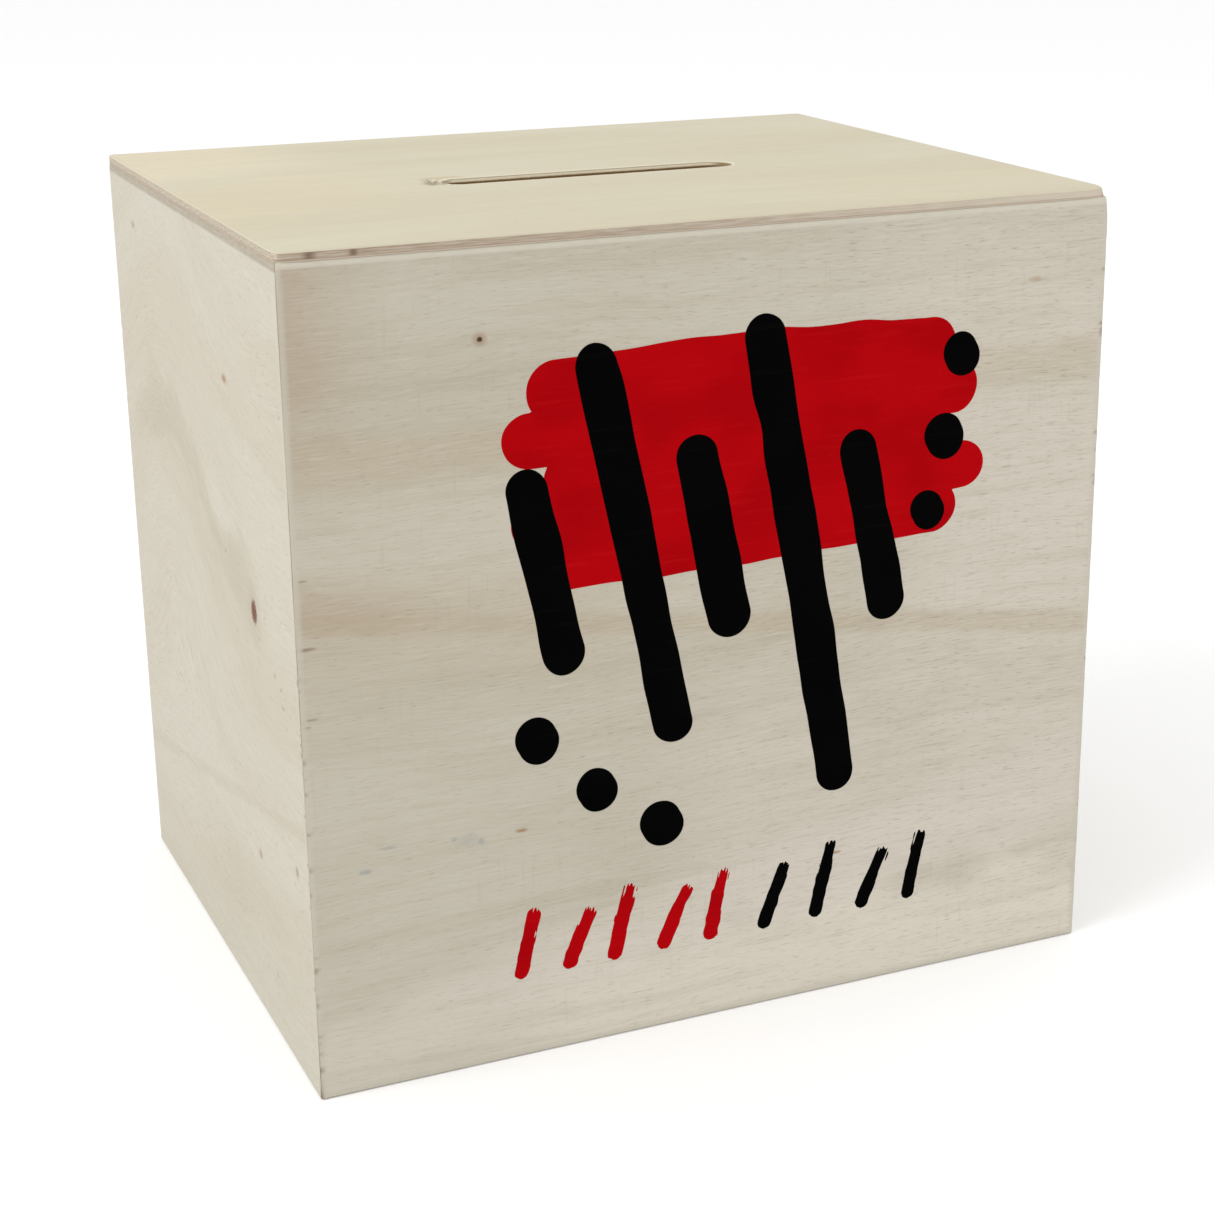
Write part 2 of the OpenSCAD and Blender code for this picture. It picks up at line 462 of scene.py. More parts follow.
def slot_wear(outline, height):
    """How far the veneer is torn back round the slot, which is worst at its left end."""
    x, y = outline[:, 0], outline[:, 1]
    left = np.clip((-x - SLOT_LENGTH / 2 + TORN_REACH) / TORN_REACH, 0, 1)
    upper = np.clip((height - SHEET + VENEER) / VENEER, 0, 1)
    ragged = np.abs(wobble(x * 3 + y * 5, 1.1 * MM, 71)) * TORN_DEPTH * left * upper
    nibbled = np.maximum(wobble(x + 2 * y, 2.3 * MM, 72) - NIBBLE_START, 0) * NIBBLE_DEPTH
    return ragged + nibbled


def sliver(start, heading_deg, length, width, lift, seed):
    """A torn fibre: a thin tapered strip that curls up from the wood."""
    heading = math.radians(heading_deg)
    forward = np.array([math.cos(heading), math.sin(heading), 0])
    side = np.array([-forward[1], forward[0], 0])
    points, faces = [], []
    for k in range(SLIVER_STEPS + 1):
        t = k / SLIVER_STEPS
        curl = SLIVER_CURL * length * t * t * lattice(seed, 1)[0]
        centre = np.array(start) + forward * length * t + side * curl
        centre[2] += lift * t * t
        half = width / 2 * (1 - TIP_NARROWER * t)
        thick = SLIVER_THICK * (1 - TIP_THINNER * t)
        for a, b in ((-1, 0), (0, -1), (1, 0), (0, 1)):
            points.append(centre + side * half * a + np.array([0, 0, thick * b]))
    faces += ring_faces(SLIVER_STEPS + 1, 4)
    end = SLIVER_STEPS * 4
    faces += [(3, 2, 1, 0), (end, end + 1, end + 2, end + 3)]
    return points, faces


def slivers():
    """The points and faces of the torn fibres that stand up at the slot's left end."""
    draw = np.random.RandomState(77)
    points, faces = [], []
    for k in range(SLIVER_COUNT):
        x = -SLOT_LENGTH / 2 + draw.uniform(*SLIVER_PLACE) * MM
        y = SLOT_Y + draw.uniform(-SLIVER_SPREAD, SLIVER_SPREAD) * SLOT_WIDTH
        heading = draw.choice([0, 180]) + draw.uniform(-SLIVER_TURN, SLIVER_TURN)
        length, width, lift = [draw.uniform(*span) * MM
                               for span in (SLIVER_LENGTH, SLIVER_WIDTH, SLIVER_LIFT)]
        root = (x, y, TOP_HIGH.z - SLIVER_ROOT)
        more, more_faces = sliver(root, heading, length, width, lift, 80 + k)
        faces += [[i + len(points) for i in face] for face in more_faces]
        points += more
    return points, faces


def top_fields(points, in_slot, in_collar):
    """What the material needs to know at each point of the panel."""
    depth = (TOP_HIGH.z - points[:, 2]) / SHEET
    to_side = TOP_HIGH.x - np.abs(points[:, 0])
    to_front = TOP_HIGH.y - np.abs(points[:, 1])
    worn = np.clip(1 - np.minimum(to_side, to_front) / TOP_WEAR, 0, 1)
    on_straight = np.abs(points[:, 0]) < SLOT_LENGTH / 2 - SLOT_TURN
    return {
        "ply": depth,
        # in the slot, arris marks the upper rim, which gets a painted highlight
        "arris": np.where(in_slot, (depth < VENEER_SHARE) & ~in_collar,
                          worn * np.clip(1 - depth * 3, 0, 1)),
        "long_grain": np.where(in_slot, on_straight, to_front < to_side),
        "in_slot": in_slot,
    }


def make_top(material):
    plan, outwards = plan_outline()
    slot, into_wood = slot_outline()
    outer = edge_rings(plan, -outwards, edge_profile(*RIM_EDGE), rim_wear)
    inner = edge_rings(slot, into_wood, edge_profile(*SLOT_EDGE), slot_wear)
    points = np.concatenate([outer.reshape(-1, 3), inner.reshape(-1, 3)])
    split = outer.size // 3
    numbers = np.arange(len(points))
    outer_rings = numbers[:split].reshape(outer.shape[:2])
    inner_rings = numbers[split:].reshape(inner.shape[:2])
    rings = ring_faces(*outer.shape[:2]) + ring_faces(*inner.shape[:2], split, flip=True)
    flats = []
    for level, upward in ((0, -1), (-1, 1)):
        loops = [outer_rings[level].tolist(), inner_rings[level].tolist()]
        flats += fill_between(points, loops, Vector((0, 0, upward)))
    fields = top_fields(points, numbers >= split, numbers >= inner_rings[-1, 0])
    torn, torn_faces = slivers()
    for field, value in SLIVER_FIELDS.items():
        fields[field] = np.append(fields[field], np.full(len(torn), value))
    faces = rings + flats + [[i + len(points) for i in face] for face in torn_faces]
    smooth = [True] * len(rings) + [False] * len(flats) + [True] * len(torn_faces)
    piece = make_piece("top_panel_sheet", [*points, *torn], faces, smooth, fields)
    return dress(piece, material, stands_for=["top_panel"])


# ---- plug

PLUG_LOW, PLUG_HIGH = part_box("base_plug")
PLUG_RADIUS = PLUG_HIGH.x  # of the flange
PLUG_TOP, PLUG_FOOT = PLUG_HIGH.z, PLUG_LOW.z
PLUG_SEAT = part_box("base_panel")[0].z  # the flange lies against the base here
PLUG_WALL = 1.8 * MM
NECK_RADIUS = 24.92 * MM
POCKET_RADIUS = NECK_RADIUS - PLUG_WALL
GRIP_RINGS = (0.90, 0.955)  # as shares of the flange's radius
GRIP_WIDTH, GRIP_DEPTH = 0.45 * MM, 0.22 * MM
RIB_COUNT, FIRST_RIB, RIB_PITCH = 3, 3.2 * MM, 1.7 * MM
RIB_DEPTH = 0.35 * MM
GROOVE_POINTS = (  # up a groove between the ribs: share of its depth, and height
    (0, 0.0), (1, 0.3 * MM), (1, 0.9 * MM), (0, 1.2 * MM),
)
POCKET_FILLET, POCKET_LIP = 1.2 * MM, 0.5 * MM
FLANGE_FOOT, FLANGE_TOP = 0.6 * MM, 0.4 * MM  # the roundings of its rim
NECK_CHAMFER = 0.3 * MM
NOSE_ROUND, NOSE_INSET = 0.6 * MM, 0.9 * MM  # the neck's upper rim, drawn in a little
LATHE_STEPS = 128
BAR_WIDTH, BAR_HEIGHT = 5.0 * MM, 4.0 * MM
BAR_LIFT = 0.25 * MM  # of the bar's foot over the flange's face
BAR_ROUND = 0.55  # the section's corners: 1 is an ellipse
ROOT_START = 0.82  # share of the bar's half length where it flares
FLARE_WIDTH, FLARE_HEIGHT = 0.55, 0.4  # how much wider and higher it gets


def plug_profile():
    """The plug's half section from its axis under the web, by the pocket, to its crown."""
    web = PLUG_TOP - PLUG_WALL
    profile = [(0.0, web)]

    def fillet(centre_r, centre_z, radius, start_deg, end_deg, steps=5):
        for a in np.radians(np.linspace(start_deg, end_deg, steps)):
            profile.append((centre_r + radius * math.cos(a), centre_z + radius * math.sin(a)))

    fillet(POCKET_RADIUS - POCKET_FILLET, web - POCKET_FILLET, POCKET_FILLET, 90, 0)
    fillet(POCKET_RADIUS + POCKET_LIP, PLUG_FOOT + POCKET_LIP, POCKET_LIP, 180, 270)
    for ring in GRIP_RINGS:
        profile.append((PLUG_RADIUS * ring - GRIP_WIDTH, PLUG_FOOT))
        profile.append((PLUG_RADIUS * ring, PLUG_FOOT + GRIP_DEPTH))
        profile.append((PLUG_RADIUS * ring + GRIP_WIDTH, PLUG_FOOT))
    fillet(PLUG_RADIUS - FLANGE_FOOT, PLUG_FOOT + FLANGE_FOOT, FLANGE_FOOT, -90, 0)
    fillet(PLUG_RADIUS - FLANGE_TOP, PLUG_SEAT - FLANGE_TOP, FLANGE_TOP, 0, 90)
    profile.append((NECK_RADIUS + NECK_CHAMFER, PLUG_SEAT))
    profile.append((NECK_RADIUS, PLUG_SEAT + NECK_CHAMFER))
    for k in range(RIB_COUNT):
        foot = PLUG_SEAT + FIRST_RIB + k * RIB_PITCH
        profile += [(NECK_RADIUS - RIB_DEPTH * share, foot + up) for share, up in GROOVE_POINTS]
    fillet(NECK_RADIUS - NOSE_INSET, PLUG_TOP - NOSE_ROUND, NOSE_ROUND, 0, 90)
    profile.append((0.0, PLUG_TOP))
    return profile


def lathe(name, profile):
    """A turned solid from a profile that starts and ends on the axis."""
    points = []
    for r, z in profile[1:-1]:
        for a in 2 * math.pi * np.arange(LATHE_STEPS) / LATHE_STEPS:
            points.append((r * math.cos(a), r * math.sin(a), z))
    faces = ring_faces(len(profile) - 2, LATHE_STEPS)
    floor, crown = len(points), len(points) + 1
    points += [(0, 0, profile[0][1]), (0, 0, profile[-1][1])]
    last = (len(profile) - 3) * LATHE_STEPS
    for k in range(LATHE_STEPS):
        j = (k + 1) % LATHE_STEPS
        faces.append((floor, j, k))
        faces.append((crown, last + k, last + j))
    return make_piece(name, points, faces, sharp_deg=50)


def finger_bar():
    """A rounded bar that spans the pocket, lofted along X with flared roots."""
    reach = POCKET_RADIUS + PLUG_WALL / 2
    stations, angles = np.linspace(-1, 1, 25), np.radians(np.arange(0, 360, 15))
    points = []
    for s in stations:
        root = max(0.0, abs(s) - ROOT_START) / (1 - ROOT_START)
        half_width = BAR_WIDTH / 2 * (1 + FLARE_WIDTH * root)
        height = BAR_HEIGHT * (1 + FLARE_HEIGHT * root)
        middle = PLUG_FOOT + BAR_LIFT + height / 2
        for a in angles:
            y = half_width * math.copysign(abs(math.cos(a)) ** BAR_ROUND, math.cos(a))
            z = height / 2 * math.copysign(abs(math.sin(a)) ** BAR_ROUND, math.sin(a))
            points.append((s * reach, y, middle + z))
    count, end = len(angles), (len(stations) - 1) * len(angles)
    faces = ring_faces(len(stations), count)
    faces += [tuple(range(count))[::-1], tuple(range(end, end + count))]
    return make_piece("finger_bar", points, faces)


def make_plug(material):
    """A moulded plug: a turned body with soft edges, joined with a finger bar in its pocket."""
    body, bar = lathe("base_plug_moulding", plug_profile()), finger_bar()
    union = body.modifiers.new("bar", "BOOLEAN")
    union.operation, union.solver, union.object = "UNION", "EXACT", bar
    graph = bpy.context.evaluated_depsgraph_get()
    joined = bpy.data.meshes.new_from_object(body.evaluated_get(graph), depsgraph=graph)
    body.modifiers.clear()
    body.data = joined
    joined.set_sharp_from_angle(angle=math.radians(50))
    bpy.data.objects.remove(bar)
    return dress(body, material, body="plug", stands_for=["base_plug"])


# ---- print

FRONT_Y = cad_low.y
INK_BACK = 0.06 * MM  # each film is let this far into the wood
UNDER, OVER = 0.03 * MM, 0.05 * MM  # how proud the films lie, as black covers red
CELL, FINE = 0.5, 0.22  # grid steps for the films' outlines, in mm
LEAST_LOOP = 8  # points: a speck with fewer is left out
SWELL, SWELL_STEP = 0.055, 13  # how much a stroke's width changes, and over how many mm
WAVER, WAVER_STEP = 0.35, 9  # how far a mark's outline strays, and over how many mm


def stroke_distance(x, z, path, radius, seed):
    """Signed distance in mm to a hand-drawn stroke of round brush marks along a path."""
    best = np.full(x.shape, 1e9)
    run = 0.0
    for (x0, z0), (x1, z1) in zip(path[:-1], path[1:]):
        dx, dz = x1 - x0, z1 - z0
        length = max(math.hypot(dx, dz), 1e-6)
        t = np.clip(((x - x0) * dx + (z - z0) * dz) / length ** 2, 0, 1)
        swell = 1 + SWELL * wobble(run + t * length, SWELL_STEP, seed)
        best = np.minimum(best, np.hypot(x - x0 - t * dx, z - z0 - t * dz) - radius * swell)
        run += length
    return best


def contour(field, xs, zs):
    """Closed loops of points where a field on a grid crosses zero; inside is negative."""
    inside = field < 0
    crossing = {}

    def cross(i, j, k, m):
        key = (i, j, k, m)
        if key not in crossing:
            t = field[i, j] / (field[i, j] - field[k, m])
            crossing[key] = (xs[j] + t * (xs[m] - xs[j]), zs[i] + t * (zs[k] - zs[i]))
        return key

    code = (inside[:-1, :-1] * 1 + inside[:-1, 1:] * 2 + inside[1:, 1:] * 4 + inside[1:, :-1] * 8)
    follow = {}
    for i, j in zip(*np.nonzero((code > 0) & (code < 15))):
        sides = {
            "b": lambda: cross(i, j, i, j + 1), "r": lambda: cross(i, j + 1, i + 1, j + 1),
            "t": lambda: cross(i + 1, j, i + 1, j + 1), "l": lambda: cross(i, j, i + 1, j),
        }
        for a, b in CONTOUR_CASES[int(code[i, j])]:
            follow[sides[a]()] = sides[b]()
    loops = []
    while follow:
        start, here = next(iter(follow.items()))
        loop = [start]
        del follow[start]
        while here != start:
            loop.append(here)
            here = follow.pop(here)
        if len(loop) >= LEAST_LOOP:
            loops.append([crossing[key] for key in loop])
    return loops


CONTOUR_CASES = {  # which sides of a grid cell each piece of the contour joins, inside on its left
    1: ["bl"], 2: ["rb"], 3: ["rl"], 4: ["tr"], 5: ["bl", "tr"], 6: ["tb"], 7: ["tl"],
    8: ["lt"], 9: ["bt"], 10: ["rb", "lt"], 11: ["rt"], 12: ["lr"], 13: ["br"], 14: ["lb"],
}


def ink_film(name, field, window, cell, proud, material, slot):
    """A thin closed film over the front wherever the field, in mm, is negative."""
    x0, z0, x1, z1 = window
    xs, zs = np.arange(x0, x1, cell), np.arange(z0, z1, cell)
    grid_x, grid_z = np.meshgrid(xs, zs)
    values = field(grid_x, grid_z)
    values[[0, -1], :], values[:, [0, -1]] = 1.0, 1.0
    loops = contour(values, xs, zs)
    points, rings = [], []
    for loop in loops:
        rings.append(list(range(len(points), len(points) + len(loop))))
        points += [(x * MM, FRONT_Y - proud, z * MM) for x, z in loop]
    count = len(points)
    faces = fill_between(points, rings, Vector((0, -1, 0)))
    back = [[i + count for i in face][::-1] for face in faces]
    points += [(x, FRONT_Y + INK_BACK, z) for x, _, z in points]
    sides = []
    for ring in rings:
        for a, b in zip(ring, ring[1:] + ring[:1]):
            sides.append((a, a + count, b + count, b))
    flat = [False] * (len(faces) + len(back) + len(sides))
    piece = make_piece(name, points, faces + back + sides, flat)
    bm = bmesh.new()
    bm.from_mesh(piece.data)
    bmesh.ops.recalc_face_normals(bm, faces=bm.faces)
    bm.to_mesh(piece.data)
    bm.free()
    return dress(piece, material)


RED_PASSES = [  # a brushed block: each pass is a stroke from left to right, with its radius
    ([(-50, 197), (10, 200), (66, 198)], 8.5),
    ([(-58, 184), (0, 187), (74, 186)], 8.0),
    ([(-46, 172), (8, 174), (62, 173)], 8.5),
    ([(-56, 160), (-6, 161), (78, 162)], 7.5),
    ([(-48, 148), (12, 149), (68, 150)], 8.0),
]
BLACK_BARS = [  # leaning bars, short and long by turns
    ([(-59, 170), (-54, 146), (-49, 122)], 6.3),
    ([(-38, 203), (-27, 152), (-16, 96)], 6.2),
    ([(-8, 174), (-3, 150), (2, 126)], 6.8),
    ([(13, 206), (25, 142), (37, 72)], 6.4),
    ([(43, 170), (48, 148), (53, 124)], 6.1),
]
BLACK_DOTS = [(-58, 98, 6.4), (-40, 80, 5.8), (-20, 66, 6.6), (66, 150, 5.6), (71, 172, 6.4),
              (76, 196, 5.8)]
DASH_ROW = [  # short brush marks in place of a caption: foot x, lean in mm, height in mm
    (-64, 4, 17), (-49, 6, 14), (-35, 5, 19), (-19, 7, 15), (-4, 4, 18),
    (14, 6, 16), (31, 5, 20), (47, 7, 15), (63, 4, 18),
]
DASH_FOOT = 27  # height of the row's feet over the rim, in mm
DASH_RADIUS = 2.3
BRISTLE, FRAY = 1.5, 0.25  # how deep the bristle streaks and the ragged outline cut, in mm
RED_DASHES = 5  # the first marks of the row are red


def marks_field(strokes, seed):
    def field(x, z):
        wavy_x = x + WAVER * patches(x, z, WAVER_STEP, WAVER_STEP, seed)
        wavy_z = z + WAVER * patches(x, z, WAVER_STEP, WAVER_STEP, seed + 1)
        distances = [stroke_distance(wavy_x, wavy_z, path, radius, seed + 2 + k)
                     for k, (path, radius) in enumerate(strokes)]
        return np.minimum.reduce(distances)
    return field


def dry_dash_field(dashes, seed):
    """Brush marks that break into bristle streaks towards their upper ends."""
    def field(x, z):
        distances = []
        for k, (foot, lean, height) in enumerate(dashes):
            path = [(foot, DASH_FOOT), (foot + lean * 0.45, DASH_FOOT + height * 0.5),
                    (foot + lean, DASH_FOOT + height)]
            base = stroke_distance(x, z, path, DASH_RADIUS, seed + k)
            across = x - foot - lean * (z - DASH_FOOT) / height
            up = np.clip((z - DASH_FOOT) / height, 0, 1.15)
            bristle = patches(across, z, 0.42, 9, seed + 40 + k)
            fray = patches(across, z, 0.6, 2.0, seed + 60 + k)
            cut = BRISTLE * np.maximum(bristle, 0) * up ** 2
            distances.append(base + cut + FRAY * fray)
        return np.minimum.reduce(distances)
    return field


def make_print(red, black):
    dots = [([(x, z), (x + 0.8, z - 1.5)], r) for x, z, r in BLACK_DOTS]
    red_dashes, black_dashes = DASH_ROW[:RED_DASHES], DASH_ROW[RED_DASHES:]
    bar_area = (-80, 40, 100, 220)
    films = (
        ("red_block", marks_field(RED_PASSES, 201), (-80, 130, 100, 220), CELL, UNDER, red),
        ("black_bars", marks_field(BLACK_BARS, 221), bar_area, CELL, OVER, black),
        ("black_dots", marks_field(dots, 241), bar_area, CELL, OVER, black),
        ("red_dashes", dry_dash_field(red_dashes, 261), (-76, 18, 20, 54), FINE, UNDER, red),
        ("black_dashes", dry_dash_field(black_dashes, 281), (4, 18, 84, 54), FINE, UNDER, black),
    )
    for name, *film in films:
        ink_film("print_" + name, *film, "print_" + name.split("_")[0])


# ---- material building blocks

def linear(red, green, blue):
    """A colour given as 0-255 screen values, as linear light."""
    def channel(value):
        value /= 255
        return value / 12.92 if value <= 0.04045 else ((value + 0.055) / 1.055) ** 2.4
    return (channel(red), channel(green), channel(blue), 1.0)


class Nodes:
    """A material's node tree, with short calls for the nodes used here."""

    def __init__(self, name, **settings):
        self.material = bpy.data.materials.new(name)
        self.material.use_nodes = True
        self.tree = self.material.node_tree
        self.shader = self.tree.nodes["Principled BSDF"]
        for socket, value in settings.items():
            self.shader.inputs[socket.replace("_", " ")].default_value = value
        coords = self.tree.nodes.new("ShaderNodeTexCoord")
        split = self.add("ShaderNodeSeparateXYZ", [coords.outputs["Object"]])
        self.place = coords.outputs["Object"]
        self.x, self.y, self.z = split.outputs

    def add(self, kind, inputs, **props):
        node = self.tree.nodes.new(kind)
        for key, value in props.items():
            setattr(node, key, value)
        pairs = inputs.items() if isinstance(inputs, dict) else enumerate(inputs)
        for key, value in pairs:
            self.put(node.inputs[key], value)
        return node

    def put(self, socket, value):
        """Links a socket, or sets it to a number or to a colour of three 0-255 screen values."""
        if isinstance(value, bpy.types.NodeSocket):
            self.tree.links.new(value, socket)
        else:
            socket.default_value = linear(*value) if isinstance(value, tuple) else value

    def math(self, operation, *values):
        return self.add("ShaderNodeMath", values, operation=operation).outputs[0]

    def plus(self, *terms):
        return functools.reduce(lambda a, b: self.math("ADD", a, b), terms)

    def times(self, *factors):
        return functools.reduce(lambda a, b: self.math("MULTIPLY", a, b), factors)

    def minus(self, a, b):
        return self.math("SUBTRACT", a, b)

    def over(self, a, b):
        return self.math("DIVIDE", a, b)

    def size(self, a):
        return self.math("ABSOLUTE", a)

    def vector(self, x, y, z):
        return self.add("ShaderNodeCombineXYZ", [x, y, z]).outputs[0]

    def noise(self, vector, detail=2.0, rough=0.5, scale=1.0):
        inputs = {"Vector": vector, "Scale": scale, "Detail": detail, "Roughness": rough}
        return self.add("ShaderNodeTexNoise", inputs).outputs["Fac"]

    def figure(self, place, sizes, detail=2.0, rough=0.5):
        """Noise at a place (u, v, w), whose features have these sizes along u, v and w."""
        return self.noise(self.vector(*map(self.over, place, sizes)), detail, rough)

    def ramp(self, value, low, high, to_low=0.0, to_high=1.0):
        inputs = [value, low, high, to_low, to_high]
        return self.add("ShaderNodeMapRange", inputs, interpolation_type="SMOOTHSTEP").outputs[0]

    def attribute(self, name):
        return self.add("ShaderNodeAttribute", [], attribute_name=name).outputs["Fac"]

    def mix(self, share, a, b):
        node = self.add("ShaderNodeMix", {}, data_type="RGBA")
        for key, value in ((0, share), (6, a), (7, b)):  # the factor and the colour sockets
            self.put(node.inputs[key], value)
        return node.outputs[2]

    def away_from(self, u, v, at_u, at_v, size_u, size_v):
        """Distance from a point in a plane, where size_u and size_v each count as one."""
        du = self.over(self.minus(u, at_u), size_u)
        dv = self.over(self.minus(v, at_v), size_v)
        return self.math("SQRT", self.plus(self.times(du, du), self.times(dv, dv)))

    def finish(self, colour, roughness, height, bump, distance=1.0 * MM):
        self.put(self.shader.inputs["Base Color"], colour)
        self.put(self.shader.inputs["Roughness"], roughness)
        normal = self.add("ShaderNodeBump", {"Strength": bump, "Distance": distance,
                                             "Height": height})
        self.put(self.shader.inputs["Normal"], normal.outputs[0])
        return self.material


# ---- wood

FADE = 22 * MM  # how softly a streak begins and ends
DEEP = 100 * MM  # the figure hardly changes through a ply
FIGURES = {  # the veneer's features: length and width, then the noise's detail and roughness
    "broad": (160 * MM, 30 * MM, 2, 0.55),
    "bands": (100 * MM, 5 * MM, 3, 0.6),
    "fibres": (11 * MM, 0.60 * MM, 3, 0.65),
    "flecks": (3.8 * MM, 0.40 * MM, 1, 0.4),
    "pores": (4.2 * MM, 0.75 * MM, 1, 0.4),
    "checks": (1.6 * MM, 20 * MM, 2, 0.5),
    "checked_area": (60 * MM, 50 * MM, 1, 0.5),
}
SCORCHED_TIPS = (42 * MM, 46.5 * MM)  # where the cutter burnt the slot's round ends


def bell(wood, value, middle, half):
    """One at the middle, and falling smoothly to nothing over about twice half."""
    t = wood.over(wood.minus(value, middle), half)
    return wood.math("EXPONENT", wood.times(t, t, -1.0))


def lift_arch(wood, u, v, arch):
    """The across-grain coordinate under a cathedral figure, whose lines rise to a crown."""
    crown_u, height, half, low, high = arch
    rise = wood.times(bell(wood, u, crown_u, half), wood.ramp(v, low, high, 0.0, height))
    return wood.minus(v, rise)


def bend_round_knots(wood, u, v, knots):
    """The across-grain coordinate, with the grain pushed round each knot."""
    for at_u, at_v, radius in knots:
        dv = wood.over(wood.minus(v, at_v), radius * 2.2)
        near = bell(wood, u, at_u, radius * 6)
        fade = wood.math("EXPONENT", wood.times(wood.size(dv), -1.0))
        side = wood.math("TANH", wood.times(dv, 3.0))
        v = wood.minus(v, wood.times(near, fade, radius * 1.3, side))
    return v


def lay_streaks(wood, colour, u, v, streaks):
    """Soft bands along the grain: each has its height, slope, half width, reach and colour."""
    waver = wood.minus(wood.figure((u, v, 0.0), (35 * MM, 20 * MM, 1.0), 3, 0.6), 0.5)
    for streak in streaks:
        middle = wood.plus(wood.times(u, streak.slope), streak.at)
        away = wood.over(wood.size(wood.minus(v, middle)), streak.half)
        away = wood.plus(away, wood.times(waver, streak.waver))
        start, stop = streak.reach
        fade = wood.times(wood.ramp(u, start - FADE, start + FADE),
                          wood.ramp(u, stop - FADE, stop + FADE, 1.0, 0.0))
        share = wood.times(wood.ramp(away, 0.35, 1.25, streak.share, 0.0), fade)
        colour = wood.mix(share, colour, streak.colour)
    return colour


def veneer_colour(wood, u, v, w, look):
    """The face of a poplar ply: broad tones, streaks, fibres, pores and checks, and its height."""
    drift = wood.figure((u, v, w), (110 * MM, 35 * MM, DEEP))
    sway = wood.times(wood.minus(drift, 0.5), look.sway)
    grain = wood.plus(v, wood.times(u, look.lean), sway, look.seed)
    noise = {}
    for name, (length, width, detail, rough) in FIGURES.items():
        noise[name] = wood.figure((u, grain, w), (length, width, DEEP), detail, rough)
    lively = wood.ramp(u, -WIDTH / 2, WIDTH / 2, *look.livelier)
    colour = wood.mix(wood.ramp(noise["broad"], 0.32, 0.68), look.pale, look.deep)
    colour = lay_streaks(wood, colour, u, v, look.streaks)
    bands = wood.ramp(noise["bands"], 0.45, 0.75, 0.0, look.bands)
    glints = wood.times(wood.ramp(noise["fibres"], 0.52, 0.25, 0.0, look.fibres), lively)
    darks = wood.times(wood.ramp(noise["fibres"], 0.50, 0.78, 0.0, look.fibres), lively)
    flecks = wood.times(wood.ramp(noise["flecks"], 0.60, 0.76, 0.0, look.flecks), lively)
    pores = wood.ramp(noise["pores"], 0.72, 0.80, 0.0, look.pores)
    checks = wood.times(wood.ramp(noise["checks"], 0.58, 0.74, 0.0, look.checks),
                        wood.ramp(noise["checked_area"], 0.46, 0.60))
    for share, tone in ((bands, look.band), (glints, look.glint), (darks, look.fibre),
                        (flecks, look.fleck), (pores, look.fleck), (checks, look.band)):
        colour = wood.mix(share, colour, tone)
    holes = wood.plus(flecks, wood.plus(pores, checks))
    return colour, wood.minus(wood.times(noise["fibres"], 0.8), holes)


def add_marks(wood, colour, height, u, v, look):
    """Pin knots, which are dark and slightly dished, and small stains, each ragged and long."""
    ragged = wood.minus(wood.noise(wood.vector(u, v, 0.0), 2, 0.6, scale=900), 0.5)
    ragged = wood.times(ragged, 0.9)
    for at_u, at_v, radius in look.knots:
        away = wood.away_from(u, v, at_u, at_v, radius * look.knot_stretch, radius)
        away = wood.plus(away, ragged)
        halo = wood.ramp(away, 1.0, 3.2, look.knot_halo, 0.0)
        eye = wood.ramp(away, 0.55, 1.15, 1.0, 0.0)
        colour = wood.mix(halo, colour, look.knot_ring)
        colour = wood.mix(eye, colour, look.knot_eye)
        height = wood.minus(height, wood.times(eye, 1.5))
    for at_u, at_v, long, wide, share, stain in look.stains:
        away = wood.plus(wood.away_from(u, v, at_u, at_v, long, wide), ragged)
        colour = wood.mix(wood.ramp(away, 0.2, 1.3, share, 0.0), colour, stain)
    return colour, height


def edge_colour(wood, run, look):
    """The sawn edge of a sheet: two thin outer plies, glue lines and a thick core between."""
    ply = wood.attribute("ply")  # from 0 at the outer face to 1 at the inner one
    along = wood.figure((run, ply, 0.0), (11 * MM, 0.16, 1.0), 3, 0.6)
    slow = wood.figure((run, ply, 0.0), (40 * MM, 2.0, 1.0))
    ends = wood.figure((run, ply, 0.0), (0.8 * MM, 0.20, 1.0), 2, 0.7)
    long_core = wood.mix(wood.ramp(along, 0.35, 0.68), look.core_pale, look.core_deep)
    towards = wood.times(wood.ramp(wood.x, *look.core_fade), 0.85)
    long_core = wood.mix(towards, long_core, look.core_far)
    end_core = wood.mix(wood.ramp(ends, 0.36, 0.64), look.end_pale, look.end_deep)
    core = wood.mix(wood.attribute("long_grain"), end_core, long_core)
    at_front = wood.ramp(wood.y, -1 * MM, 1 * MM, 1.0, 0.0)
    for at_x, half in look.edge_knots:
        away = wood.away_from(wood.x, ply, at_x, 0.5, half, 0.55)
        away = wood.plus(away, wood.times(wood.minus(ends, 0.5), 0.6))
        share = wood.times(wood.ramp(away, 0.0, 1.7, 0.75, 0.0), at_front)
        core = wood.mix(share, core, look.edge_knot)
    level = wood.plus(ply, wood.times(wood.minus(slow, 0.5), 0.08))
    in_back = wood.ramp(level, 0.98 - VENEER_SHARE, 1.02 - VENEER_SHARE)
    colour = wood.mix(in_back, core, look.back)
    lines = []
    for line in (VENEER_SHARE, 1 - VENEER_SHARE):
        lines.append(wood.ramp(wood.size(wood.minus(level, line)), 0.02, 0.09, 1.0, 0.0))
    patchy = wood.ramp(along, 0.3, 0.6, 0.3, look.glue_share)
    glue = wood.times(wood.math("MAXIMUM", *lines), patchy)
    return wood.mix(glue, colour, look.glue), ends, level


